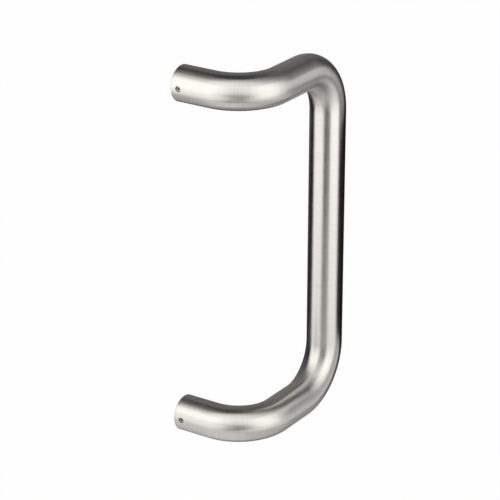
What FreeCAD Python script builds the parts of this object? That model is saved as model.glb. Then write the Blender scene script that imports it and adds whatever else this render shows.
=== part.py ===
"""Offset pull handle for a door: one bent stainless tube, a turned plug in each end, and a set screw through
the side of each end. The set screws grip two spigots that a fitter bolts to the door.

Frame: the door's face is the plane y = 0, and the handle stands out from it towards -Y. +Z is up, along the
grip. The origin lies on the door's face, midway between the two legs. The grip is offset towards +X.
"""

import FreeCAD
import Part

import math
import os

from FreeCAD import Vector

# Driving dimensions of the tube, in millimetres
TUBE_DIAMETER = 31.8
TUBE_WALL = 1.5
FIXING_CENTRES = 305.0  # from the upper leg's axis to the lower leg's
GRIP_PROJECTION = 70.5  # from the door's face out to the grip's axis
GRIP_OFFSET = 119.0  # sideways, from the legs' axes to the grip's axis
LEG_BEND_RADIUS = 39.5  # at the tube's axis, where a leg turns sideways
GRIP_BEND_RADIUS = 43.5  # at the tube's axis, where the offset run turns into the grip
RIM_CHAMFER = 0.5  # round the outside of each open end
BORE_DEBURR = 0.25  # round the inside of each open end

# Driving dimensions of the end plugs
PLUG_LENGTH = 23.0
PLUG_RECESS = 0.6  # the tube's rim bears on the door, so the plug stands back from it
PLUG_LEAD = 1.2  # chamfer that starts the plug into the tube
PLUG_FACE_CHAMFER = 0.3
SPIGOT_BORE_DIAMETER = 12.1
SPIGOT_BORE_DEPTH = 16.0  # from the plug's face to the end of the full diameter
SPIGOT_BORE_LEAD = 0.8  # chamfer at the bore's mouth
DRILL_POINT_ANGLE = 118.0  # included angle at the bottom of a drilled hole

# Driving dimensions of the set screws and of the holes that they pass through
SCREW_DIAMETER = 5.0
SCREW_LENGTH = 7.6
SCREW_SETBACK = 7.5  # from the door's face to the screw's axis
SCREW_INSET = 1.3  # from the tube's surface down to the screw's outer end
SCREW_CHAMFER = 0.45
SCREW_CUP_DIAMETER = 2.5
SOCKET_ACROSS_FLATS = 2.5
SOCKET_DEPTH = 2.4
THREAD_CLEARANCE = 0.05  # round the screw, in the plain bore that stands for its thread
WALL_HOLE_CLEARANCE = 0.1  # round the screw, where it passes through the tube's wall
WALL_HOLE_COUNTERSINK = 0.2  # how much wider the hole's radius is at the tube's surface

# Directions that every piece shares
AWAY_FROM_GRIP = Vector(-1, 0, 0)
TO_DOOR = Vector(0, 1, 0)
UP = Vector(0, 0, 1)

FULL_TURN = 360
HEXAGON_SIDES = 6
ENDS = {"upper": FIXING_CENTRES / 2, "lower": -FIXING_CENTRES / 2}

tube_radius = TUBE_DIAMETER / 2
tube_bore_radius = tube_radius - TUBE_WALL
screw_radius = SCREW_DIAMETER / 2
spigot_bore_radius = SPIGOT_BORE_DIAMETER / 2


def tangent_line(corners, radii):
    """A wire of straight runs through the corners, joined by an arc of the given radius at each inner corner."""
    edges = []
    start = corners[0]
    for before, corner, after, radius in zip(corners, corners[1:], corners[2:], radii):
        arriving = (corner - before).normalize()
        leaving = (after - corner).normalize()
        turn = arriving.getAngle(leaving)
        reach = radius * math.tan(turn / 2)
        inward = (leaving - arriving).normalize()
        arc_start = corner - arriving * reach
        arc_middle = corner + inward * (radius / math.cos(turn / 2) - radius)
        arc_end = corner + leaving * reach
        edges.append(Part.LineSegment(start, arc_start).toShape())
        edges.append(Part.Arc(arc_start, arc_middle, arc_end).toShape())
        start = arc_end
    edges.append(Part.LineSegment(start, corners[-1]).toShape())
    return Part.Wire(edges)


def handle_line():
    """The tube's axis: out from the door, sideways to the grip, down the grip, and back the same way."""
    top, bottom = ENDS["upper"], ENDS["lower"]
    corners = [
        Vector(0, 0, top),
        Vector(0, -GRIP_PROJECTION, top),
        Vector(GRIP_OFFSET, -GRIP_PROJECTION, top),
        Vector(GRIP_OFFSET, -GRIP_PROJECTION, bottom),
        Vector(0, -GRIP_PROJECTION, bottom),
        Vector(0, 0, bottom),
    ]
    radii = [LEG_BEND_RADIUS, GRIP_BEND_RADIUS, GRIP_BEND_RADIUS, LEG_BEND_RADIUS]
    return tangent_line(corners, radii)


def swept_round(line, radius):
    """A solid round bar of the given radius that follows the line."""
    start = line.OrderedVertexes[0].Point
    circle = Part.Wire(Part.makeCircle(radius, start, TO_DOOR))
    return line.makePipeShell([circle], True, False)


def end_rims(shape, radius):
    """The circular edges of the given radius that lie in the door's face, one at each leg."""
    rims = []
    for edge in shape.Edges:
        is_circle = isinstance(edge.Curve, Part.Circle)
        if is_circle and abs(edge.Curve.Radius - radius) < Part.Precision.confusion():
            if abs(edge.Curve.Center.y) < Part.Precision.confusion():
                rims.append(edge)
    return rims


def wall_hole(height):
    """The tool that drills one wall of a leg for its set screw, with a countersink at the tube's surface."""
    outside = Vector(-tube_radius, -SCREW_SETBACK, height)
    radius = screw_radius + WALL_HOLE_CLEARANCE
    drill = Part.makeCylinder(radius, tube_radius, outside, -AWAY_FROM_GRIP)
    sink_depth = radius + WALL_HOLE_COUNTERSINK
    sink = Part.makeCone(sink_depth, 0, sink_depth, outside, -AWAY_FROM_GRIP)
    return drill.fuse(sink)


def handle_tube():
    """The bar is swept first, then hollowed by a sweep of the bore along the same line."""
    line = handle_line()
    tube = swept_round(line, tube_radius).cut(swept_round(line, tube_bore_radius))
    tube = tube.makeChamfer(RIM_CHAMFER, end_rims(tube, tube_radius))
    tube = tube.makeChamfer(BORE_DEBURR, end_rims(tube, tube_bore_radius))
    return tube.cut([wall_hole(height) for height in ENDS.values()])


def turned(profile, axis_point, axis):
    """A solid turned about an axis. The profile lists (radius, distance along the axis) pairs."""
    sideways = UP
    points = [axis_point + axis * along + sideways * radius for radius, along in profile]
    outline = Part.makePolygon(points + points[:1])
    return Part.Face(outline).revolve(axis_point, axis, FULL_TURN)


def end_plug(height):
    """A plug turned to the tube's bore, drilled for the spigot from its face and cross-drilled for the screw."""
    bore_end = SPIGOT_BORE_DEPTH
    drill_tip = bore_end + spigot_bore_radius / math.tan(math.radians(DRILL_POINT_ANGLE / 2))
    profile = [
        (0, drill_tip),
        (spigot_bore_radius, bore_end),
        (spigot_bore_radius, SPIGOT_BORE_LEAD),
        (spigot_bore_radius + SPIGOT_BORE_LEAD, 0),
        (tube_bore_radius - PLUG_FACE_CHAMFER, 0),
        (tube_bore_radius, PLUG_FACE_CHAMFER),
        (tube_bore_radius, PLUG_LENGTH - PLUG_LEAD),
        (tube_bore_radius - PLUG_LEAD, PLUG_LENGTH),
        (0, PLUG_LENGTH),
    ]
    plug = turned(profile, Vector(0, -PLUG_RECESS, height), -TO_DOOR)
    thread = Part.makeCylinder(
        screw_radius + THREAD_CLEARANCE,
        tube_radius,
        Vector(-tube_radius, -SCREW_SETBACK, height),
        -AWAY_FROM_GRIP,
    )
    return plug.cut(thread)


def hexagon_socket(outer_end, direction):
    """The hexagonal hole for the key, from the screw's outer end inwards."""
    corner_radius = SOCKET_ACROSS_FLATS / 2 / math.cos(math.pi / HEXAGON_SIDES)
    corners = []
    for side in range(HEXAGON_SIDES + 1):
        angle = math.radians(FULL_TURN / HEXAGON_SIDES * side)
        spoke = UP * math.cos(angle) + TO_DOOR * math.sin(angle)
        corners.append(outer_end + spoke * corner_radius)
    return Part.Face(Part.makePolygon(corners)).extrude(direction * SOCKET_DEPTH)


def set_screw(height):
    """A headless screw with chamfered ends, a cup point and a hexagon socket."""
    cup_radius = SCREW_CUP_DIAMETER / 2
    profile = [
        (0, 0),
        (screw_radius - SCREW_CHAMFER, 0),
        (screw_radius, SCREW_CHAMFER),
        (screw_radius, SCREW_LENGTH - (screw_radius - cup_radius)),
        (cup_radius, SCREW_LENGTH),
        (0, SCREW_LENGTH - cup_radius / 2),
    ]
    outer_end = Vector(SCREW_INSET - tube_radius, -SCREW_SETBACK, height)
    screw = turned(profile, outer_end, -AWAY_FROM_GRIP)
    return screw.cut(hexagon_socket(outer_end, -AWAY_FROM_GRIP))


def write(name, shape):
    """Writes one piece as one checked solid."""
    (solid,) = shape.Solids
    assert solid.isValid(), name
    solid.exportStep("parts/" + name + ".step")
    print(name, round(solid.Volume), "mm3")


os.makedirs("parts", exist_ok=True)
write("handle_tube", handle_tube())
for end, height in ENDS.items():
    write(end + "_end_plug", end_plug(height))
    write(end + "_set_screw", set_screw(height))
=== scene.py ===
# %% [markdown]
# # An offset pull handle in satin stainless steel
# A tubular pull handle starts as one straight stainless tube. A bender draws it round four times: each leg
# turns sideways into a short run, and each run turns into the upright grip. Then it is brushed, and a plug
# and a set screw go into each end. The measured model already holds those pieces. This lesson loads it, lays
# finer skins for the tube and the screws, gives every piece its surface, and builds the small studio that a
# polished thing needs in order to look like metal.

import math

import bmesh
import bpy
from mathutils import Matrix, Quaternion, Vector


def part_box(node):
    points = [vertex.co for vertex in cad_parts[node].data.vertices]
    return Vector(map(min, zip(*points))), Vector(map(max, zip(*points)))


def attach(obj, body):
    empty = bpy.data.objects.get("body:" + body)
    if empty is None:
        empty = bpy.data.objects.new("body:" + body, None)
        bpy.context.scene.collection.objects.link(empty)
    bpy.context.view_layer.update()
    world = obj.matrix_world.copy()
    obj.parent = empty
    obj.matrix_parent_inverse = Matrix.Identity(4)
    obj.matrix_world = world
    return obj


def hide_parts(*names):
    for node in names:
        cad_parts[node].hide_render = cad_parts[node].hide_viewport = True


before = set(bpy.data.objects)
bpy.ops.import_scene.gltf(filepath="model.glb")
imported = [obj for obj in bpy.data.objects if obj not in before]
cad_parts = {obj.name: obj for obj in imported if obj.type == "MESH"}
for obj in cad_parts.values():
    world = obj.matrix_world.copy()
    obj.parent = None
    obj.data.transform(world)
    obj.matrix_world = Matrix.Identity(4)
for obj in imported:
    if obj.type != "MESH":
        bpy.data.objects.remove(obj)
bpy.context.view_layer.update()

# %% [markdown]
# ## Sizes
# Everything that follows sits on the measured pieces, so its sizes come from them. The tube's box gives its
# radius and how far its axis runs each way, and the set screw's box gives the place of the hole. Only what a
# box can't tell is written here: the bends, the wall and the small edges.

# %% Read the sizes off the pieces
MM = 0.001
LEG_BEND_RADIUS = 39.5 * MM
GRIP_BEND_RADIUS = 43.5 * MM
TUBE_WALL = 1.5 * MM
OUTER_EDGE_ROUND = 0.5 * MM
INNER_EDGE_ROUND = 0.25 * MM

tube_low, tube_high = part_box("handle_tube")
screw_low, screw_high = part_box("upper_set_screw")
tube_radius = -tube_low.x
bore_radius = tube_radius - TUBE_WALL
leg_height = tube_high.z - tube_radius
grip_projection = -tube_low.y - tube_radius
grip_offset = tube_high.x - tube_radius
screw_radius = (screw_high.z - screw_low.z) / 2
screw_setback = -(screw_high.y + screw_low.y) / 2
print("tube", round(2 * tube_radius / MM, 2), "mm, legs", round(2 * leg_height / MM, 1), "mm apart")
print("grip", round(grip_projection / MM, 1), "mm out and", round(grip_offset / MM, 1), "mm across")

# %% [markdown]
# ## The tube's axis
# A bent tube is easiest to think of as a walk. Start at the door, go straight, turn on an arc, go straight
# again. A curve object with a bevel could do the same, but walking the line ourselves gives one thing that
# the bevel hides: at every step we know how far along the metal we are, and which side of it faces where.

# %% A place on the tube's axis
TO_DOOR = Vector((0, 1, 0))
TO_GRIP = Vector((1, 0, 0))
UP = Vector((0, 0, 1))


class Place:
    """A place on the tube's axis: the point, the way the tube runs, and the side the screws come from."""

    def __init__(self, point, ahead, side):
        self.point = point
        self.ahead = ahead
        self.side = side

    def straight(self, length):
        """The place after a straight walk of this length."""
        return Place(self.point + self.ahead * length, self.ahead, self.side)

    def turned(self, towards, radius, angle):
        """The place after an arc of this radius that turns the tube by this angle towards a direction."""
        centre = self.point + towards * radius
        turn = Quaternion(self.ahead.cross(towards), angle)
        return Place(centre + turn @ (self.point - centre), turn @ self.ahead, turn @ self.side)

    def on_metal(self, radius, angle):
        """A point at this radius, at this angle round the tube from the screws' side."""
        across = self.ahead.cross(self.side)
        return self.point + self.side * (radius * math.cos(angle)) + across * (radius * math.sin(angle))


start_of_tube = Place(UP * leg_height, -TO_DOOR, -TO_GRIP)
print("the walk starts at", [round(value / MM, 1) for value in start_of_tube.point], "mm")

# %% [markdown]
# The whole tube is five straight stretches with four bends between them. Each stretch knows its own length
# and can name the place at any distance inside it, so finding a place on the tube only means passing whole
# stretches until the distance falls inside one.

# %% Walk the tube from the upper leg to the lower one
QUARTER_TURN = math.pi / 2

leg_length = grip_projection - LEG_BEND_RADIUS
run_length = grip_offset - LEG_BEND_RADIUS - GRIP_BEND_RADIUS
grip_length = 2 * (leg_height - GRIP_BEND_RADIUS)


class Straight:
    """A stretch of tube that was never bent."""

    def __init__(self, length):
        self.length = length

    def place(self, start, distance):
        """The place this far into the stretch."""
        return start.straight(distance)


class Bend:
    """A quarter turn of the tube towards a direction."""

    def __init__(self, radius, towards):
        self.radius = radius
        self.towards = towards
        self.length = QUARTER_TURN * radius

    def place(self, start, distance):
        """The place this far into the bend, measured along the tube's axis."""
        return start.turned(self.towards, self.radius, distance / self.radius)


walk = [
    Straight(leg_length),
    Bend(LEG_BEND_RADIUS, TO_GRIP),
    Straight(run_length),
    Bend(GRIP_BEND_RADIUS, -UP),
    Straight(grip_length),
    Bend(GRIP_BEND_RADIUS, -TO_GRIP),
    Straight(run_length),
    Bend(LEG_BEND_RADIUS, TO_DOOR),
    Straight(leg_length),
]
tube_length = sum(stretch.length for stretch in walk)


def place_at(distance):
    """The place this far along the tube's axis, from the upper leg's end."""
    here = start_of_tube
    for stretch in walk:
        if distance < stretch.length:
            return stretch.place(here, distance)
        here = stretch.place(here, stretch.length)
        distance -= stretch.length
    return here.straight(distance)


print("the tube is", round(tube_length / MM), "mm long before it is bent")

# %% [markdown]
# ## A skin that remembers its place
# Brushed steel needs more than points and faces. The grain is made with a belt that runs round the tube, so
# each point also keeps two facts: how far along the piece it lies, and how far round. Both are written twice.
# As a UV map they tell the shader which way the scratches run. As a vector in which the turn is bent into a
# ring they have no seam, so the scratch pattern can read them all the way round.

# %% A builder for skins of metal
FULL_TURN = 2 * math.pi
HALF_TURN = math.pi
GRAIN_MAP = "grain_map"
GRAIN_PLACE = "grain_place"
SHARP_ANGLE = math.radians(35)
MAP_LENGTH = 0.1  # metres of metal for one unit of the map


class MetalSkin:
    """Collects the points and faces of one piece, with each point's place on the unrolled metal."""

    def __init__(self):
        self.points = []
        self.places = []
        self.faces = []

    def point(self, where, along, turn):
        """Adds a point and returns its number."""
        self.points.append(where)
        self.places.append((along, turn))
        return len(self.points) - 1

    def join(self, ring, next_ring):
        """Quads between two closed rings of the same number of points."""
        count = len(ring)
        for here in range(count):
            after = (here + 1) % count
            self.faces.append((ring[here], ring[after], next_ring[after], next_ring[here]))

    def cap(self, ring, where, along):
        """A fan of triangles from a ring to one middle point."""
        middle = self.point(where, along, 0)
        count = len(ring)
        for here in range(count):
            self.faces.append((ring[here], ring[(here + 1) % count], middle))

    def draw_map(self, mesh):
        """The UV map: along the piece, and round it, with faces over the seam carried on past a full turn."""
        grain_map = mesh.uv_layers.new(name=GRAIN_MAP)
        for face in mesh.polygons:
            face_turns = [self.places[vertex][1] for vertex in face.vertices]
            over_seam = max(face_turns) - min(face_turns) > HALF_TURN
            for loop, vertex in zip(face.loop_indices, face.vertices):
                along, turn = self.places[vertex]
                if over_seam and turn < HALF_TURN:
                    turn += FULL_TURN
                grain_map.data[loop].uv = (along / MAP_LENGTH, turn / FULL_TURN)

    def write_places(self, mesh, radius):
        """The seamless vector: along the piece, and a ring of this radius for the turn."""
        grain_place = mesh.attributes.new(GRAIN_PLACE, "FLOAT_VECTOR", "POINT")
        for vertex, (along, turn) in enumerate(self.places):
            grain_place.data[vertex].vector = (along, radius * math.cos(turn), radius * math.sin(turn))

    def finish(self, name, node, radius):
        """Makes the object. The radius is the one that the grain's pattern wraps round."""
        mesh = bpy.data.meshes.new(name)
        mesh.from_pydata(self.points, [], self.faces)
        shape = bmesh.new()
        shape.from_mesh(mesh)
        bmesh.ops.recalc_face_normals(shape, faces=shape.faces)
        shape.to_mesh(mesh)
        shape.free()
        self.draw_map(mesh)
        self.write_places(mesh, radius)
        mesh.shade_smooth()
        mesh.set_sharp_from_angle(angle=SHARP_ANGLE)
        piece = bpy.data.objects.new(name, mesh)
        bpy.context.scene.collection.objects.link(piece)
        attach(piece, "root")
        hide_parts(node)
        print(name, len(mesh.vertices), "points,", len(mesh.polygons), "faces")
        return piece


# %% [markdown]
# ## The tube's two skins
# The outer and the inner skin are the same grid, once at the tube's radius and once at the bore's. Rings
# stand close together in the bends and wide apart where the tube is straight. Around each set screw the grid
# leaves a square window, and smaller and smaller rings fill it until they meet the round hole. Cutting the
# hole with a boolean would be quicker to write, but it leaves long thin faces, and a mirror-like surface
# shows every one.

# %% Rings along the tube
AROUND = 96
BEND_STEP = math.radians(2.5)
STRAIGHT_STEP = 6 * MM
LEAST_GAP = 1 * MM  # between the evenly spaced rings of a window and the next ring
WINDOW_HALF_LENGTH = 5.2 * MM
WINDOW_COLUMNS = 5  # to each side of the hole's middle
WINDOW_ROWS = 5  # to each side of the hole's middle


def ring_distances():
    """How far along the tube each ring stands, from rim to rim."""
    window_start = screw_setback - WINDOW_HALF_LENGTH
    window_step = WINDOW_HALF_LENGTH / WINDOW_ROWS
    window = [window_start + row * window_step for row in range(2 * WINDOW_ROWS + 1)]
    leg = [OUTER_EDGE_ROUND] + window
    nearest = leg[-1] + LEAST_GAP
    farthest = tube_length - nearest
    middle = []
    start = 0
    for stretch in walk:
        pace = BEND_STEP * stretch.radius if isinstance(stretch, Bend) else STRAIGHT_STEP
        count = math.ceil(stretch.length / pace)
        distances = [start + stretch.length * part / count for part in range(1, count + 1)]
        middle += [distance for distance in distances if nearest < distance < farthest]
        start += stretch.length
    return leg + middle + [tube_length - distance for distance in reversed(leg)]


rings = ring_distances()
turns = [FULL_TURN * column / AROUND for column in range(AROUND)]
print(len(rings), "rings of", AROUND, "points")

# %% [markdown]
# The countersink is a cone, and the tube is round, so the cone's edge isn't a true circle: it comes in a
# little where the tube's surface falls away. The loop below finds that edge in a few steps.

# %% The hole's edge on the curved wall
HOLE_CLEARANCE = 0.1 * MM
COUNTERSINK = 0.2 * MM
EDGE_STEPS = 6

hole_radius = screw_radius + HOLE_CLEARANCE
sink_radius = hole_radius + COUNTERSINK


def sink_edge(angle):
    """How far from the hole's middle the countersink meets the tube's surface, in this direction."""
    edge = sink_radius
    for _ in range(EDGE_STEPS):
        fall = tube_radius - math.sqrt(tube_radius ** 2 - (edge * math.sin(angle)) ** 2)
        edge = sink_radius - fall
    return edge


def plain_edge(angle):
    """The hole's own radius, which is the same in every direction."""
    return hole_radius


print("countersink's edge", round(sink_edge(0) / MM, 3), "to", round(sink_edge(QUARTER_TURN) / MM, 3), "mm")

# %% [markdown]
# A window's frame is a square loop of grid points. A round hole has as many points as that loop, one for each
# frame point and in its direction. Between the two stand a few rings that turn from square to round.

# %% Fill a window round its hole
WINDOW_RINGS = 4


def window_frame(hole_ring):
    """The grid's (ring, column) places round the window of the hole in that ring, in order."""
    rows = range(-WINDOW_ROWS, WINDOW_ROWS)
    columns = range(-WINDOW_COLUMNS, WINDOW_COLUMNS)
    frame_places = [(row, -WINDOW_COLUMNS) for row in rows]
    frame_places += [(WINDOW_ROWS, column) for column in columns]
    frame_places += [(-row, WINDOW_COLUMNS) for row in rows]
    frame_places += [(-WINDOW_ROWS, -column) for column in columns]
    return [(hole_ring + row, column % AROUND) for row, column in frame_places]


def fill_window(skin, grid, hole_ring, radius, edge):
    """Rings of quads from the window's frame in to the hole. Returns the ring at the hole's edge."""
    hole_distance = rings[hole_ring]
    here = place_at(hole_distance)
    frame_places = window_frame(hole_ring)
    chart = [(rings[row] - hole_distance, radius * math.sin(turns[column])) for row, column in frame_places]
    previous = [grid[place] for place in frame_places]
    for ring in range(1, WINDOW_RINGS + 1):
        share = ring / WINDOW_RINGS
        current = []
        for lengthwise, crosswise in chart:
            angle = math.atan2(crosswise, lengthwise)
            reach = edge(angle)
            along = lengthwise + (reach * math.cos(angle) - lengthwise) * share
            across = crosswise + (reach * math.sin(angle) - crosswise) * share
            turn = math.asin(across / radius)
            where = here.straight(along).on_metal(radius, turn)
            current.append(skin.point(where, hole_distance + along, turn % FULL_TURN))
        skin.join(previous, current)
        previous = current
    return previous


print("each hole's edge has", len(window_frame(0)), "points")

# %% [markdown]
# Now the skins can be laid. Each skin returns its first and last ring, which the rims will join, and the ring
# at the edge of each hole, which the hole's wall will join.

# %% Lay both skins
HOLE_ROW = 1 + WINDOW_ROWS

hole_rings = (HOLE_ROW, len(rings) - 1 - HOLE_ROW)


def point_in_window(row, column):
    """Does the point at this ring and column lie inside a window's frame?"""
    side = (column + WINDOW_COLUMNS) % AROUND
    return 0 < side < 2 * WINDOW_COLUMNS and any(abs(row - hole) < WINDOW_ROWS for hole in hole_rings)


def quad_in_window(row, column):
    """Does the quad that starts at this ring and column lie in a window?"""
    side = (column + WINDOW_COLUMNS) % AROUND
    if side >= 2 * WINDOW_COLUMNS:
        return False
    return any(-WINDOW_ROWS <= row - hole < WINDOW_ROWS for hole in hole_rings)


def lay_skin(skin, radius, edge):
    """The skin at this radius. Returns its end rings and the rings at its two holes."""
    grid = {}
    for row, distance in enumerate(rings):
        here = place_at(distance)
        for column, turn in enumerate(turns):
            if not point_in_window(row, column):
                grid[row, column] = skin.point(here.on_metal(radius, turn), distance, turn)
    for row in range(len(rings) - 1):
        for column in range(AROUND):
            if not quad_in_window(row, column):
                after = (column + 1) % AROUND
                corners = (grid[row, column], grid[row, after], grid[row + 1, after], grid[row + 1, column])
                skin.faces.append(corners)
    ends = [[grid[row, column] for column in range(AROUND)] for row in (0, len(rings) - 1)]
    holes = [fill_window(skin, grid, hole, radius, edge) for hole in hole_rings]
    return ends, holes


tube = MetalSkin()
outer_ends, outer_holes = lay_skin(tube, tube_radius, sink_edge)
inner_ends, inner_holes = lay_skin(tube, bore_radius, plain_edge)
print("skins laid:", len(tube.points), "points")

# %% [markdown]
# ## Rims and holes
# A sawn tube end is never left sharp: the outside is broken with a file or a wheel and the inside is
# deburred. A bevel modifier could round them, but it would round the holes too. So the rounds are laid as a
# few more rings. They matter out of proportion to their size, because each one catches a thin line of light.

# %% Round the rims
EDGE_FACETS = 4


def rounded_rim(skin, outer_ring, inner_ring, distance, into_tube):
    """The tube's end between its outer and inner skin, as two rounds with a flat ring between them."""
    here = place_at(distance)
    steps = [QUARTER_TURN * part / EDGE_FACETS for part in range(1, EDGE_FACETS + 1)]
    profile = []
    for angle in steps:
        depth = OUTER_EDGE_ROUND * (1 - math.sin(angle))
        profile.append((depth, tube_radius - OUTER_EDGE_ROUND * (1 - math.cos(angle))))
    for angle in reversed(steps):
        depth = INNER_EDGE_ROUND * (1 - math.sin(angle))
        profile.append((depth, bore_radius + INNER_EDGE_ROUND * (1 - math.cos(angle))))
    previous = outer_ring
    for depth, radius in profile:
        inward = depth * into_tube
        there = here.straight(inward)
        current = [skin.point(there.on_metal(radius, turn), distance + inward, turn) for turn in turns]
        skin.join(previous, current)
        previous = current
    skin.join(previous, inner_ring)


rounded_rim(tube, outer_ends[0], inner_ends[0], 0, 1)
rounded_rim(tube, outer_ends[1], inner_ends[1], tube_length, -1)
print("rims rounded:", len(tube.points), "points")

# %% [markdown]
# Each hole needs only one more ring, where the countersink's cone meets the drilled wall. The cone runs from
# the outer skin to that ring, and the wall from the ring to the inner skin. Then the tube is whole.

# %% Line the holes and finish the tube


def hole_wall(skin, outer_ring, inner_ring, hole_ring):
    """The countersink's cone and the drilled wall, from the outer skin to the inner one."""
    distance = rings[hole_ring]
    here = place_at(distance)
    across_tube = here.ahead.cross(here.side)
    sink_bottom = here.side * (tube_radius - COUNTERSINK)
    drilled_ring = []
    for row, column in window_frame(hole_ring):
        angle = math.atan2(tube_radius * math.sin(turns[column]), rings[row] - distance)
        across = hole_radius * math.sin(angle)
        on_axis = here.straight(hole_radius * math.cos(angle)).point
        where = on_axis + sink_bottom + across_tube * across
        drilled_ring.append(skin.point(where, distance, math.asin(across / tube_radius) % FULL_TURN))
    skin.join(outer_ring, drilled_ring)
    skin.join(drilled_ring, inner_ring)


for outer_hole, inner_hole, hole in zip(outer_holes, inner_holes, hole_rings):
    hole_wall(tube, outer_hole, inner_hole, hole)
brushed_tube = tube.finish("brushed_tube", "handle_tube", tube_radius)

# %% [markdown]
# ## The set screws
# A set screw is a headless bolt: thread all the way, a hexagon socket in one end and a cup in the other that
# bites into the spigot. The thread is a ridge that climbs one pitch each turn, so the radius at any point
# depends on how far along and how far round it is. That rule is all that the rings need: no spiral has to be
# swept.

# %% The screw's thread, socket and ends
THREAD_PITCH = 0.8 * MM
THREAD_DEPTH = 0.45 * MM
THREAD_FLAT = 0.18  # share of a pitch that is flat at the crest, and as much again at the root
SCREW_CHAMFER = 0.45 * MM
CUP_RADIUS = 1.25 * MM
SOCKET_ACROSS_FLATS = 2.5 * MM
HEXAGON_STEP = FULL_TURN / 6

screw_length = screw_high.x - screw_low.x


def thread_depth(along, turn):
    """How deep the thread's groove is at this place."""
    phase = (along / THREAD_PITCH - turn / FULL_TURN) % 1
    ridge = abs(2 * phase - 1)
    slope = (ridge - THREAD_FLAT) / (1 - 2 * THREAD_FLAT)
    return THREAD_DEPTH * min(1, max(0, slope))


def hexagon_radius(turn):
    """How far the socket's wall is from the screw's axis in this direction."""
    off_flat = (turn + HEXAGON_STEP / 2) % HEXAGON_STEP - HEXAGON_STEP / 2
    return SOCKET_ACROSS_FLATS / 2 / math.cos(off_flat)


def end_limit(along):
    """The largest radius that the chamfers leave at this place."""
    lead = screw_radius - SCREW_CHAMFER + along
    tail = CUP_RADIUS + (screw_length - along)
    return min(screw_radius, lead, tail)


print("screw", round(2 * screw_radius / MM, 2), "mm thick and", round(screw_length / MM, 2), "mm long")

# %% [markdown]
# Each screw is one long sleeve of rings. It starts at the bottom of the socket, comes up the hexagon's wall,
# turns over the rim with a small lead, and goes down the thread to the cup. Two fans of triangles close it.

# %% Two threaded screws
SOCKET_DEPTH = 2.4 * MM
SOCKET_LEAD = 0.12 * MM
SOCKET_POINT = SOCKET_ACROSS_FLATS / 4  # the cone that the drill leaves under the socket
CUP_DEPTH = 0.6 * MM
SCREW_AROUND = 60
ROWS_A_PITCH = 12

screw_turns = [FULL_TURN * column / SCREW_AROUND for column in range(SCREW_AROUND)]


def set_screw(name, node, height):
    """One set screw, from its socket inwards."""
    skin = MetalSkin()
    start = Vector((screw_low.x, -screw_setback, height))

    def ring(along, radius_at):
        """A ring round the screw, whose radius follows the turn."""
        points = []
        for turn in screw_turns:
            spoke = UP * math.cos(turn) + TO_DOOR * math.sin(turn)
            where = start + TO_GRIP * along + spoke * radius_at(turn)
            points.append(skin.point(where, along, turn))
        return points

    sleeve = [
        ring(SOCKET_DEPTH, hexagon_radius),
        ring(SOCKET_LEAD, hexagon_radius),
        ring(0, lambda turn: hexagon_radius(turn) + SOCKET_LEAD),
    ]
    rows = math.ceil(screw_length / THREAD_PITCH * ROWS_A_PITCH)
    for row in range(rows + 1):
        along = screw_length * row / rows
        limit = end_limit(along)
        sleeve.append(ring(along, lambda turn: min(limit, screw_radius - thread_depth(along, turn))))
    for before, after in zip(sleeve, sleeve[1:]):
        skin.join(before, after)
    socket_bottom = SOCKET_DEPTH + SOCKET_POINT
    skin.cap(sleeve[0], start + TO_GRIP * socket_bottom, socket_bottom)
    skin.cap(sleeve[-1], start + TO_GRIP * (screw_length - CUP_DEPTH), screw_length)
    return skin.finish(name, node, screw_radius)


screws = [
    set_screw("upper_threaded_screw", "upper_set_screw", leg_height),
    set_screw("lower_threaded_screw", "lower_set_screw", -leg_height),
]

# %% [markdown]
# ## Helpers for finishes
# A finish in Blender is a tree of nodes, and most trees repeat the same few steps: a new metal, a noise that
# is stretched to the shape of a tool's marks, a noise mapped to a range, and a noise used as colour or as
# relief. Written once here, they keep each finish below short enough to read as a recipe.

# %% A new metal and its noise
NOISE_DETAIL = 2.0
NOISE_MIDDLE = 0.5
NOISE_REACH = 0.25  # noise mostly stays this far either side of its middle


def new_finish(name):
    """A new metal: its material, its shader, a helper that adds nodes, and one that links them."""
    material = bpy.data.materials.new(name)
    material.use_nodes = True
    nodes = material.node_tree.nodes
    metal = nodes["Principled BSDF"]
    metal.inputs["Metallic"].default_value = 1.0

    def add(kind, **settings):
        node = nodes.new(kind)
        for setting, value in settings.items():
            setattr(node, setting, value)
        return node

    return material, metal, add, material.node_tree.links.new


def stretched_noise(add, link, source, stretch, detail=NOISE_DETAIL):
    """Noise with its own number of marks per metre in each of the three directions."""
    scale = add("ShaderNodeVectorMath", operation="MULTIPLY")
    scale.inputs[1].default_value = stretch
    link(source, scale.inputs[0])
    noise = add("ShaderNodeTexNoise", noise_dimensions="3D")
    noise.inputs["Scale"].default_value = 1.0
    noise.inputs["Detail"].default_value = detail
    link(scale.outputs["Vector"], noise.inputs["Vector"])
    return noise.outputs["Fac"]


def to_range(add, link, source, low, high):
    """Maps noise to a range."""
    mapping = add("ShaderNodeMapRange")
    mapping.inputs["From Min"].default_value = NOISE_MIDDLE - NOISE_REACH
    mapping.inputs["From Max"].default_value = NOISE_MIDDLE + NOISE_REACH
    mapping.inputs["To Min"].default_value = low
    mapping.inputs["To Max"].default_value = high
    link(source, mapping.inputs["Value"])
    return mapping.outputs["Result"]


# %% [markdown]
# The last two helpers spend a noise. One blends the metal between two near colours. The other makes a bump:
# the shading tilts as if the surface rose and fell, which is right for marks far finer than any face.

# %% Noise as colour and as relief


def blend_colours(add, link, metal, source, low_colour, high_colour):
    """Colours the metal between two colours, by a noise."""
    colour = add("ShaderNodeMix", data_type="RGBA")
    colour.inputs["A"].default_value = low_colour
    colour.inputs["B"].default_value = high_colour
    link(to_range(add, link, source, 0, 1), colour.inputs["Factor"])
    link(colour.outputs["Result"], metal.inputs["Base Color"])


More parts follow.
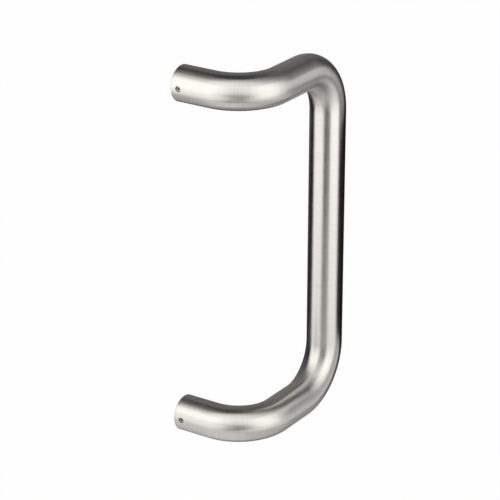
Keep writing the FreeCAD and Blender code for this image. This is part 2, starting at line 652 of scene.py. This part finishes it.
def raise_relief(add, link, metal, source, height, strength):
    """Gives the metal a relief of this height, by a noise."""
    bump = add("ShaderNodeBump")
    bump.inputs["Strength"].default_value = strength
    bump.inputs["Distance"].default_value = height
    link(source, bump.inputs["Height"])
    link(bump.outputs["Normal"], metal.inputs["Normal"])


# %% [markdown]
# ## Satin stainless
# Satin steel is a mirror with countless fine scratches, all running one way. Along a scratch it still mirrors
# crisply; across the scratches it smears what it reflects. Here the scratches run round the tube, so
# reflections stay crisp round it and smear along it. Blender's metal can do that itself: the anisotropic
# value sets how uneven the smear is, and the tangent says which way it goes. The noise on top is only the
# small unevenness that a belt leaves: fine scratches, broader streaks and slow patches.

# %% The tube's satin finish
STEEL_LIGHT = (0.668, 0.654, 0.614, 1)
STEEL_DARK = (0.622, 0.608, 0.57, 1)
SATIN_ROUGHNESS = 0.33
SATIN_VARIATION = 0.02
SATIN_ANISOTROPY = 0.84
FINE_SCRATCHES = (5200, 90, 90)  # marks per metre along the tube, and in the two directions across
BROAD_STREAKS = (900, 35, 35)
SLOW_PATCHES = (28, 40, 40)
SCRATCH_HEIGHT = 0.003 * MM
SCRATCH_STRENGTH = 0.25
STREAK_SHARE = 0.12  # how much the streaks add to the relief of the fine scratches


def satin_steel():
    """The brushed finish of the tube."""
    material, metal, add, link = new_finish("satin_steel")
    place = add("ShaderNodeAttribute", attribute_name=GRAIN_PLACE).outputs["Vector"]
    fine = stretched_noise(add, link, place, FINE_SCRATCHES)
    streaks = stretched_noise(add, link, place, BROAD_STREAKS)
    patches = stretched_noise(add, link, place, SLOW_PATCHES)
    blend_colours(add, link, metal, streaks, STEEL_DARK, STEEL_LIGHT)

    uneven = add("ShaderNodeMath", operation="ADD")
    low = SATIN_ROUGHNESS - SATIN_VARIATION
    high = SATIN_ROUGHNESS + SATIN_VARIATION
    link(to_range(add, link, streaks, low, high), uneven.inputs[0])
    link(to_range(add, link, patches, -SATIN_VARIATION, SATIN_VARIATION), uneven.inputs[1])
    link(uneven.outputs["Value"], metal.inputs["Roughness"])

    relief = add("ShaderNodeMath", operation="MULTIPLY_ADD")
    link(streaks, relief.inputs[0])
    relief.inputs[1].default_value = STREAK_SHARE
    link(fine, relief.inputs[2])
    raise_relief(add, link, metal, relief.outputs["Value"], SCRATCH_HEIGHT, SCRATCH_STRENGTH)

    metal.inputs["Anisotropic"].default_value = SATIN_ANISOTROPY
    grain = add("ShaderNodeTangent", direction_type="UV_MAP", uv_map=GRAIN_MAP)
    link(grain.outputs["Tangent"], metal.inputs["Tangent"])
    return material


brushed_tube.data.materials.append(satin_steel())
print("satin finish on", brushed_tube.name)

# %% [markdown]
# ## Turned steel
# The plugs come off a lathe. Its tool leaves a spiral as fine as a record's groove, so each plug's face shows
# rings about its own axis. The rings need only one number, the distance from that axis. Both plugs stand at
# the same height above and below the middle, so one material can serve both by reading the height without
# its sign.

# %% The plugs' turned finish
TURNED_COLOUR = (0.56, 0.55, 0.53, 1)
TURNED_ROUGHNESS = (0.24, 0.36)
TOOL_MARKS = (5000, 5000, 0)  # marks per metre outwards from the plug's axis, and along it
RING_HEIGHT = 0.006 * MM
RING_STRENGTH = 0.4


def place_on_plug(add, link):
    """How far a point is from its plug's axis, and how far along it, as the first two parts of a vector."""
    place = add("ShaderNodeTexCoord").outputs["Object"]
    split = add("ShaderNodeSeparateXYZ")
    link(place, split.inputs["Vector"])
    height = add("ShaderNodeMath", operation="ABSOLUTE")
    link(split.outputs["Z"], height.inputs[0])
    above = add("ShaderNodeMath", operation="SUBTRACT")
    above.inputs[1].default_value = leg_height
    link(height.outputs["Value"], above.inputs[0])
    spoke = add("ShaderNodeCombineXYZ")
    link(split.outputs["X"], spoke.inputs["X"])
    link(above.outputs["Value"], spoke.inputs["Z"])
    reach = add("ShaderNodeVectorMath", operation="LENGTH")
    link(spoke.outputs["Vector"], reach.inputs[0])
    on_plug = add("ShaderNodeCombineXYZ")
    link(reach.outputs["Value"], on_plug.inputs["X"])
    link(split.outputs["Y"], on_plug.inputs["Y"])
    return on_plug.outputs["Vector"]


def turned_steel():
    """Machined steel with fine rings round the plug's axis."""
    material, metal, add, link = new_finish("turned_steel")
    metal.inputs["Base Color"].default_value = TURNED_COLOUR
    marks = stretched_noise(add, link, place_on_plug(add, link), TOOL_MARKS)
    link(to_range(add, link, marks, *TURNED_ROUGHNESS), metal.inputs["Roughness"])
    raise_relief(add, link, metal, marks, RING_HEIGHT, RING_STRENGTH)
    return material


plug_finish = turned_steel()
for plug in ("upper_end_plug", "lower_end_plug"):
    for material_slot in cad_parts[plug].material_slots:
        material_slot.material = plug_finish
    print("turned finish on", plug)

# %% [markdown]
# ## Screw steel
# A small screw is rolled and tumbled, not brushed. It is duller than the tube, and a trace of oil and dust in
# the thread makes it darker where the noise is low.

# %% The screws' finish
SCREW_COLOUR_LOW = (0.34, 0.335, 0.33, 1)
SCREW_COLOUR_HIGH = (0.52, 0.51, 0.50, 1)
SCREW_ROUGHNESS = (0.3, 0.45)
SCREW_SPECKLE = (1800, 1800, 1800)  # specks per metre
SPECKLE_DETAIL = 4.0


def screw_steel():
    """The tumbled finish of the set screws."""
    material, metal, add, link = new_finish("screw_steel")
    place = add("ShaderNodeAttribute", attribute_name=GRAIN_PLACE).outputs["Vector"]
    speckle = stretched_noise(add, link, place, SCREW_SPECKLE, SPECKLE_DETAIL)
    blend_colours(add, link, metal, speckle, SCREW_COLOUR_LOW, SCREW_COLOUR_HIGH)
    link(to_range(add, link, speckle, *SCREW_ROUGHNESS), metal.inputs["Roughness"])
    return material


screw_finish = screw_steel()
for screw in screws:
    screw.data.materials.append(screw_finish)
    print("tumbled finish on", screw.name)

# %% [markdown]
# ## The camera
# The picture looks at the handle from its left, a little above it, through a long lens, so that its upright
# lines stay nearly parallel. The camera stands two metres off and aims at a point between grip and legs.

# %% Set up the camera
CAMERA_AZIMUTH = math.radians(-56.6)  # from straight on, round to the left
CAMERA_ELEVATION = math.radians(22.44)
CAMERA_ROLL = math.radians(-0.15)
CAMERA_DISTANCE = 2.0313
CAMERA_AIM = Vector((0.0321, -0.0477, 0.0016))
SENSOR_WIDTH = 36.0
LENS = 170.63


def camera_axes():
    """The camera's right, up and backward directions."""
    back = Vector((
        math.sin(CAMERA_AZIMUTH) * math.cos(CAMERA_ELEVATION),
        -math.cos(CAMERA_AZIMUTH) * math.cos(CAMERA_ELEVATION),
        math.sin(CAMERA_ELEVATION),
    ))
    right = Vector((math.cos(CAMERA_AZIMUTH), math.sin(CAMERA_AZIMUTH), 0))
    tilt = Quaternion(back, -CAMERA_ROLL)
    return tilt @ right, tilt @ back.cross(right), back


def standing_at(place, right, upward, back):
    """The matrix of a thing that stands here, with these directions as its own X, Y and Z."""
    return Matrix.Translation(place) @ Matrix((right, upward, back)).transposed().to_4x4()


right, upward, back = camera_axes()
lens_data = bpy.data.cameras.new("camera")
lens_data.sensor_width = SENSOR_WIDTH
lens_data.lens = LENS
camera = bpy.data.objects.new("camera", lens_data)
camera.matrix_world = standing_at(CAMERA_AIM + back * CAMERA_DISTANCE, right, upward, back)
bpy.context.scene.collection.objects.link(camera)
bpy.context.scene.camera = camera
print("camera at", [round(value, 3) for value in camera.matrix_world.translation])

# %% [markdown]
# ## The studio
# Polished metal has almost no look of its own: it shows the room. A photographer gives it a room worth
# showing, with two large soft boxes, a gap between them where the camera looks through, and dark cloths that
# draw the edges. The floor and the world come first: they are the plain white behind the handle. A brighter
# lamp could make them white, but it would light the handle too. Light Path nodes do it better: they tell the
# rays that see the floor from the rays that only carry its light.

# %% Helpers for the studio


def flat_mesh(name, corners):
    """A mesh with one flat face."""
    mesh = bpy.data.meshes.new(name)
    mesh.from_pydata(corners, [], [tuple(range(len(corners)))])
    return mesh


def seen_directly(tree):
    """A value that is 1 for the rays of the camera, of mirrors and of glass, and 0 for the rest."""
    rays = tree.nodes.new("ShaderNodeLightPath")
    seen = rays.outputs["Is Camera Ray"]
    for kind in ("Is Glossy Ray", "Is Transmission Ray"):
        either = tree.nodes.new("ShaderNodeMath")
        either.operation = "MAXIMUM"
        tree.links.new(seen, either.inputs[0])
        tree.links.new(rays.outputs[kind], either.inputs[1])
        seen = either.outputs["Value"]
    return seen


# %% [markdown]
# The floor is nearly all plain white where it is seen, and matt paint for the small rest, so that the
# handle's shadow still falls on it.

# %% Floor
FLOOR_HEIGHT = -0.62
FLOOR_SIZE = 14.0
FLOOR_COLOUR = (0.85, 0.85, 0.85, 1)
FLOOR_GLOW = 0.985  # share of plain white, the rest is the lit floor with the handle's shadow


def floor_material():
    """Pale floor that is seen mostly as plain white."""
    material = bpy.data.materials.new("pale_floor")
    material.use_nodes = True
    tree = material.node_tree
    tree.nodes.remove(tree.nodes["Principled BSDF"])
    matt = tree.nodes.new("ShaderNodeBsdfDiffuse")
    matt.inputs["Color"].default_value = FLOOR_COLOUR
    glow = tree.nodes.new("ShaderNodeEmission")
    share = tree.nodes.new("ShaderNodeMath")
    share.operation = "MULTIPLY"
    share.inputs[1].default_value = FLOOR_GLOW
    tree.links.new(seen_directly(tree), share.inputs[0])
    blend = tree.nodes.new("ShaderNodeMixShader")
    tree.links.new(share.outputs["Value"], blend.inputs["Fac"])
    tree.links.new(matt.outputs["BSDF"], blend.inputs[1])
    tree.links.new(glow.outputs["Emission"], blend.inputs[2])
    tree.links.new(blend.outputs["Shader"], tree.nodes["Material Output"].inputs["Surface"])
    return material


half_floor = FLOOR_SIZE / 2
floor_corners = [(-half_floor, -half_floor, 0), (half_floor, -half_floor, 0)]
floor_corners += [(half_floor, half_floor, 0), (-half_floor, half_floor, 0)]
floor = bpy.data.objects.new("floor", flat_mesh("floor", floor_corners))
floor.location.z = FLOOR_HEIGHT
floor.data.materials.append(floor_material())
bpy.context.scene.collection.objects.link(floor)
print("floor", FLOOR_SIZE, "m wide at height", FLOOR_HEIGHT, "m")

# %% [markdown]
# The world is white in the same way where it is seen, and gives matt things a moderate, even light.

# %% World
WORLD_LIGHT = 0.4


def white_world():
    """White where it is seen directly, and a moderate even light on matt things."""
    world = bpy.data.worlds.new("studio")
    world.use_nodes = True
    tree = world.node_tree
    strength = tree.nodes.new("ShaderNodeMapRange")
    strength.inputs["To Min"].default_value = WORLD_LIGHT
    tree.links.new(seen_directly(tree), strength.inputs["Value"])
    tree.links.new(strength.outputs["Result"], tree.nodes["Background"].inputs["Strength"])
    tree.nodes["Background"].inputs["Color"].default_value = (1, 1, 1, 1)
    return world


bpy.context.scene.world = white_world()
bpy.context.scene.view_settings.view_transform = "Standard"
print("world light", WORLD_LIGHT, "on matt things")

# %% [markdown]
# ## Soft boxes
# Everything in the studio is placed by how the handle sees it: the compass angle, which is 0 towards the
# camera and grows to the camera's right, the distance, and the height. A glowing card could stand for a soft
# box, but an area lamp leaves less noise. The left box ends at the height of the handle's middle, and the
# right one a little lower.

# %% Two soft boxes
STUDIO_MIDDLE = Vector((0.06, -0.035, 0))
BOX_TOP = 1.5
LEFT_BOX_FOOT = 0.0
LEFT_BOX_RADIANCE = 0.78
LEFT_BOX_SPREAD = 72
RIGHT_BOX_FOOT = -0.20
RIGHT_BOX_RADIANCE = 0.77
RIGHT_BOX_SPREAD = 53
# A stand is the compass angle that something stands square to, and its distance
LEFT_BOX_STAND = (-57, 0.62)
RIGHT_BOX_STAND = (47.5, 0.68)

to_camera = Vector((back.x, back.y, 0)).normalized()


def compass(angle):
    """The level direction at this compass angle."""
    return Quaternion(UP, math.radians(angle)) @ to_camera


def soft_box(name, radiance, stand, spread, low, high):
    """An even area light that spans this many degrees. Its power follows from its radiance and area."""
    angle, distance = stand
    lamp = bpy.data.lights.new(name, "AREA")
    lamp.shape = "RECTANGLE"
    lamp.size = 2 * distance * math.tan(math.radians(spread / 2))
    lamp.size_y = high - low
    lamp.energy = radiance * math.pi * lamp.size * lamp.size_y
    facing = compass(angle)
    place = STUDIO_MIDDLE + facing * distance + UP * (low + high) / 2
    box = bpy.data.objects.new(name, lamp)
    box.matrix_world = standing_at(place, UP.cross(facing), UP, facing)
    box.visible_camera = False
    bpy.context.scene.collection.objects.link(box)
    print(name, round(lamp.size, 2), "x", round(lamp.size_y, 2), "m,", round(lamp.energy, 1), "W")


soft_box("left_soft_box", LEFT_BOX_RADIANCE, LEFT_BOX_STAND, LEFT_BOX_SPREAD, LEFT_BOX_FOOT, BOX_TOP)
soft_box("right_soft_box", RIGHT_BOX_RADIANCE, RIGHT_BOX_STAND, RIGHT_BOX_SPREAD, RIGHT_BOX_FOOT, BOX_TOP)

# %% [markdown]
# ## Cards and cloths
# What the metal mirrors between and beyond the boxes comes from cards and cloths. They only have to be seen
# in the metal, so they are hidden from the camera, light nothing and cast no shadow. A card has one grey, or
# it fades upwards from one grey to another, where a hard edge would draw a line in the metal.

# %% A card of plain grey


def card_material(name, low_grey, high_grey, low, high):
    """Glows with one grey, or fades from the first grey at the low height to the second at the high one."""
    material = bpy.data.materials.new(name)
    material.use_nodes = True
    tree = material.node_tree
    tree.nodes.remove(tree.nodes["Principled BSDF"])
    look = tree.nodes.new("ShaderNodeEmission")
    look.inputs["Color"].default_value = (high_grey, high_grey, high_grey, 1)
    if low_grey != high_grey:
        geometry = tree.nodes.new("ShaderNodeNewGeometry")
        place = tree.nodes.new("ShaderNodeSeparateXYZ")
        tree.links.new(geometry.outputs["Position"], place.inputs["Vector"])
        fade = tree.nodes.new("ShaderNodeMapRange")
        fade.inputs["From Min"].default_value = low
        fade.inputs["From Max"].default_value = high
        fade.inputs["To Min"].default_value = low_grey / high_grey
        tree.links.new(place.outputs["Z"], fade.inputs["Value"])
        tree.links.new(fade.outputs["Result"], look.inputs["Strength"])
    tree.links.new(look.outputs["Emission"], tree.nodes["Material Output"].inputs["Surface"])
    return material


def plain_card(name, grey, corners):
    """A card of one grey, or of two where a pair is given: its grey at the lowest edge and at the top."""
    low_grey, high_grey = grey if isinstance(grey, tuple) else (grey, grey)
    low = min(corner.z for corner in corners)
    high = max(corner.z for corner in corners)
    card = bpy.data.objects.new(name, flat_mesh(name, corners))
    card.data.materials.append(card_material(name, low_grey, high_grey, low, high))
    card.visible_camera = False
    card.visible_diffuse = False
    card.visible_shadow = False
    bpy.context.scene.collection.objects.link(card)
    print("card", name, "of grey", grey)


# %% [markdown]
# Two more helpers turn angles and heights into corners. A standing card is flat, so a corner that lies off
# to the side of its stand is farther away than the stand's own distance.

# %% Standing and lying cards


def standing_card(name, grey, stand, outline):
    """A card that stands square to its stand's angle. Its outline is a list of (compass angle, height)."""
    facing, distance = stand
    corners = []
    for angle, height in outline:
        reach = distance / math.cos(math.radians(angle - facing))
        corners.append(STUDIO_MIDDLE + compass(angle) * reach + UP * height)
    plain_card(name, grey, corners)


def lying_card(name, grey, height, outline):
    """A level card. Its outline is a list of (compass angle, distance)."""
    corners = [STUDIO_MIDDLE + compass(angle) * reach + UP * height for angle, reach in outline]
    plain_card(name, grey, corners)


def upright(left, right, low, high):
    """The outline of a standing card between two angles and two heights."""
    return [(left, low), (right, low), (right, high), (left, high)]


# %% [markdown]
# ### The gap that the camera looks through
# The grip mirrors this gap as the dark line down its middle. It is black below and fades to pale above. The
# satin grip smears its whole height together, so the greys above also decide how dark the line is.

# %% The gap between the boxes
BLACK_CLOTH = 0.005
GAP_STAND = (-8, 1.0)
GAP_LEFT = -31
GAP_RIGHT = 22
GAP_FADE_START = -0.03
GAP_FADE_TURN = 0.3
GAP_TOP = 1.6
GAP_MIDDLE_GREY = 0.75
GAP_TOP_GREY = 1.1

gap_outline = [(-33, -0.5), (2, -0.5), (GAP_RIGHT, -0.3), (GAP_RIGHT, GAP_FADE_START)]
gap_outline += [(GAP_LEFT, GAP_FADE_START), (GAP_LEFT, -0.25)]
gap_middle = upright(GAP_LEFT, GAP_RIGHT, GAP_FADE_START, GAP_FADE_TURN)
gap_top = upright(GAP_LEFT, GAP_RIGHT, GAP_FADE_TURN, GAP_TOP)
standing_card("camera_gap", BLACK_CLOTH, GAP_STAND, gap_outline)
standing_card("camera_gap_middle", (BLACK_CLOTH, GAP_MIDDLE_GREY), GAP_STAND, gap_middle)
standing_card("camera_gap_top", (GAP_MIDDLE_GREY, GAP_TOP_GREY), GAP_STAND, gap_top)

# %% [markdown]
# Nearer than the gap stands a low dark shape with slanting edges, and under it lies a dark strip. They carry
# the gap on downwards, for the metal that looks down and towards the camera.

# %% The dark foot of the gap
GAP_FOOT_GREY = 0.02
GAP_FOOT_STAND = (-8, 0.6)
GAP_FLOOR_GREY = 0.12
LOW_FLOOR_HEIGHT = -0.6

foot_outline = [(-30, -0.36), (-3, -0.36), (5, -0.31), (11, -0.25), (16, -0.19), (21, -0.12), (13, -0.06)]
foot_outline += [(-20, -0.06), (-16, -0.15), (-19, -0.2), (-25, -0.3)]
gap_floor = [(-34, 0.5), (-8, 0.5), (18, 0.5), (18, 0.95), (-8, 0.95), (-34, 0.95)]
standing_card("gap_foot", GAP_FOOT_GREY, GAP_FOOT_STAND, foot_outline)
lying_card("gap_floor", GAP_FLOOR_GREY, LOW_FLOOR_HEIGHT, gap_floor)

# %% [markdown]
# ### Skirts under the boxes
# A soft box ends in a hard edge, and satin metal would show it. Below each box hangs a pale skirt that fades
# on its way down.

# %% Skirts
TABLE_HEIGHT = -0.42
LEFT_SKIRT_START = -93
LEFT_SKIRT_END = -18
LEFT_SKIRT_TURN = -0.27  # the height below which it fades faster
LEFT_SKIRT_GREYS = (1.38, 1.5)
LEFT_SKIRT_FOOT_GREYS = (1.02, 1.38)
RIGHT_SKIRT_GREYS = (1.15, 1.22)

left_skirt = upright(LEFT_SKIRT_START, LEFT_SKIRT_END, LEFT_SKIRT_TURN, LEFT_BOX_FOOT)
left_skirt_foot = upright(LEFT_SKIRT_START, LEFT_SKIRT_END, TABLE_HEIGHT, LEFT_SKIRT_TURN)
right_skirt = [(9, -0.45), (74, -0.45), (74, RIGHT_BOX_FOOT), (23, RIGHT_BOX_FOOT)]
standing_card("left_skirt", LEFT_SKIRT_GREYS, LEFT_BOX_STAND, left_skirt)
standing_card("left_skirt_foot", LEFT_SKIRT_FOOT_GREYS, LEFT_BOX_STAND, left_skirt_foot)
standing_card("right_skirt", RIGHT_SKIRT_GREYS, RIGHT_BOX_STAND, right_skirt)

# %% [markdown]
# ### The right side
# Beyond the right box come a grey board and a narrow pale strip that stands nearer to the handle. Metal that
# turns away to the right mirrors them. Black cloth hangs behind the strip and beyond it.

# %% Boards, strip and cloths on the right
RIGHT_BOARD_STAND = (93, 0.9)
RIGHT_BOARD_START = 76
RIGHT_BOARD_TURN = 0.05
RIGHT_BOARD_GREY = 0.5
RIGHT_BOARD_FOOT_GREYS = (0.9, 0.12)
RIGHT_TOP = 2.1
STRIP_STAND = (104, 0.54)
STRIP_START = 94
STRIP_END = 115
STRIP_TURN = 0.0
STRIP_TOP = 0.29
STRIP_FOOT_GREYS = (1.1, 0.05)
STRIP_GREYS = (0.8, 1.0)
FAR_CLOTH_GREY = 0.01
RIGHT_FAR_STAND = (130, 0.9)
RIGHT_FAR_END = 149

right_board = upright(RIGHT_BOARD_START, STRIP_START, RIGHT_BOARD_TURN, RIGHT_TOP)
right_board_foot = upright(RIGHT_BOARD_START, STRIP_START, FLOOR_HEIGHT, RIGHT_BOARD_TURN)
strip_foot = upright(STRIP_START, STRIP_END, TABLE_HEIGHT, STRIP_TURN)
strip = upright(STRIP_START, STRIP_END, STRIP_TURN, STRIP_TOP)
cloth_behind_strip = upright(STRIP_START, STRIP_END, FLOOR_HEIGHT, RIGHT_TOP)
far_cloth = upright(STRIP_END, RIGHT_FAR_END, FLOOR_HEIGHT, RIGHT_TOP)
standing_card("right_board", RIGHT_BOARD_GREY, RIGHT_BOARD_STAND, right_board)
standing_card("right_board_foot", RIGHT_BOARD_FOOT_GREYS, RIGHT_BOARD_STAND, right_board_foot)
standing_card("right_strip_foot", STRIP_FOOT_GREYS, STRIP_STAND, strip_foot)
standing_card("right_strip", STRIP_GREYS, STRIP_STAND, strip)
standing_card("right_high_cloth", BLACK_CLOTH, RIGHT_BOARD_STAND, cloth_behind_strip)
standing_card("right_far_cloth", FAR_CLOTH_GREY, RIGHT_FAR_STAND, far_cloth)

# %% [markdown]
# Photographers put a small black flag close beside a round shape to draw its edge against a white ground.
# This one stands beside the grip, so near that the runs hardly mirror it.

# %% The flag beside the grip
FLAG_GREY = 0.003
FLAG_STAND = (111, 0.12)

flag_outline = [(95, -0.125), (128, -0.125), (128, 0.16), (95, 0.07)]
standing_card("grip_flag", FLAG_GREY, FLAG_STAND, flag_outline)

# %% [markdown]
# ### The left side and the back
# The sides that turn away from the camera mirror these cloths. They are dark, so that the handle's edges
# stand out from the white. The far cloth on the left has a dim band across it.

# %% Cloths on the left and at the back
CLOTH_TOP = 2.4
LEFT_CLOTH_STAND = (-128, 0.9)
LEFT_CLOTH_START = -163
LEFT_CLOTH_SPLIT = -128
LEFT_BAND_GREY = 0.17
LEFT_BAND_FOOT = -0.25
LEFT_BAND_TOP = 0.8
BACK_STAND = (173, 1.3)
BACK_SPLIT = 173
BACK_END = 200
BACK_FOOT = -0.3
BACK_GREY = 0.12
BACK_LEFT_GREY = 0.2

near_cloth = upright(LEFT_CLOTH_SPLIT, LEFT_SKIRT_START, FLOOR_HEIGHT, CLOTH_TOP)
left_band = upright(LEFT_CLOTH_START, LEFT_CLOTH_SPLIT, LEFT_BAND_FOOT, LEFT_BAND_TOP)
under_band = upright(LEFT_CLOTH_START, LEFT_CLOTH_SPLIT, FLOOR_HEIGHT, LEFT_BAND_FOOT)
over_band = upright(LEFT_CLOTH_START, LEFT_CLOTH_SPLIT, LEFT_BAND_TOP, CLOTH_TOP)
back_cloth = upright(RIGHT_FAR_END, BACK_SPLIT, BACK_FOOT, CLOTH_TOP)
back_left_cloth = upright(BACK_SPLIT, BACK_END, BACK_FOOT, CLOTH_TOP)
standing_card("left_near_cloth", BLACK_CLOTH, LEFT_CLOTH_STAND, near_cloth)
standing_card("left_far_cloth", LEFT_BAND_GREY, LEFT_CLOTH_STAND, left_band)
standing_card("left_far_cloth_low", FAR_CLOTH_GREY, LEFT_CLOTH_STAND, under_band)
standing_card("left_far_cloth_high", FAR_CLOTH_GREY, LEFT_CLOTH_STAND, over_band)
standing_card("back_cloth", BACK_GREY, BACK_STAND, back_cloth)
standing_card("back_left_cloth", BACK_LEFT_GREY, BACK_STAND, back_left_cloth)

# %% [markdown]
# ### Above
# The upper sides look at the ceiling. It is dark, and one pale board hangs below it.

# %% Ceiling and high board
CEILING_GREY = 0.06
CEILING_HEIGHT = 2.0
CEILING_REACH = 2.0
CEILING_STEP = 45
FULL_CIRCLE = 360
HIGH_BOARD_GREY = 0.9
HIGH_BOARD_HEIGHT = 1.55

ceiling = [(angle, CEILING_REACH) for angle in range(0, FULL_CIRCLE, CEILING_STEP)]
high_board = [(-45, 1.35), (34, 1.15), (60, 0.75), (95, 0.3), (-95, 0.3), (-78, 1.0)]
lying_card("ceiling", CEILING_GREY, CEILING_HEIGHT, ceiling)
lying_card("high_board", HIGH_BOARD_GREY, HIGH_BOARD_HEIGHT, high_board)

# %% [markdown]
# ### Below
# The undersides look at a table under the handle. It has four sectors of different greys, because each
# underside looks another way. The dark sector, away from the camera, is the table's shadow, painted in as a
# dark grey. Below the table two floors carry on, to the right and round the back.

# %% Tables and floors
PALE_TABLE_GREY = 0.85
GREY_TABLE_GREY = 0.62
# painted shade: the table's shadow, as the dark grey of the sector that faces away from the camera
TABLE_SHADOW_GREY = 0.25
LEFT_TABLE_GREY = 0.5
RIGHT_FLOOR_GREY = 0.72
DARK_FLOOR_GREY = 0.03

pale_table = [(-93, 0.5), (-65, 0.55), (-37, 0.5), (-14, 0.55), (10, 0.5), (0, 0)]
grey_table = [(10, 0.5), (35, 0.55), (60, 0.5), (82, 0.5), (105, 0.5), (0, 0)]
table_painted_shadow = [(105, 0.5), (150, 0.5), (185, 0.5), (215, 0.5), (0, 0)]
left_table = [(215, 0.5), (240, 0.5), (267, 0.5), (0, 0)]
right_floor = [(12, 0.5), (57, 0.6), (105, 0.5), (105, 1.9), (57, 1.9), (12, 1.9)]
dark_floor = [(105, 0.3), (145, 0.3), (185, 0.3), (225, 0.3), (267, 0.3)]
dark_floor += [(267, 2.5), (225, 2.5), (185, 2.5), (145, 2.5), (105, 2.5)]
lying_card("pale_table", PALE_TABLE_GREY, TABLE_HEIGHT, pale_table)
lying_card("grey_table", GREY_TABLE_GREY, TABLE_HEIGHT, grey_table)
# painted shadow on the table: a darker card in place of the shade
lying_card("table_painted_shadow", TABLE_SHADOW_GREY, TABLE_HEIGHT, table_painted_shadow)
lying_card("left_table", LEFT_TABLE_GREY, TABLE_HEIGHT, left_table)
lying_card("right_floor", RIGHT_FLOOR_GREY, LOW_FLOOR_HEIGHT, right_floor)
lying_card("dark_floor", DARK_FLOOR_GREY, LOW_FLOOR_HEIGHT, dark_floor)
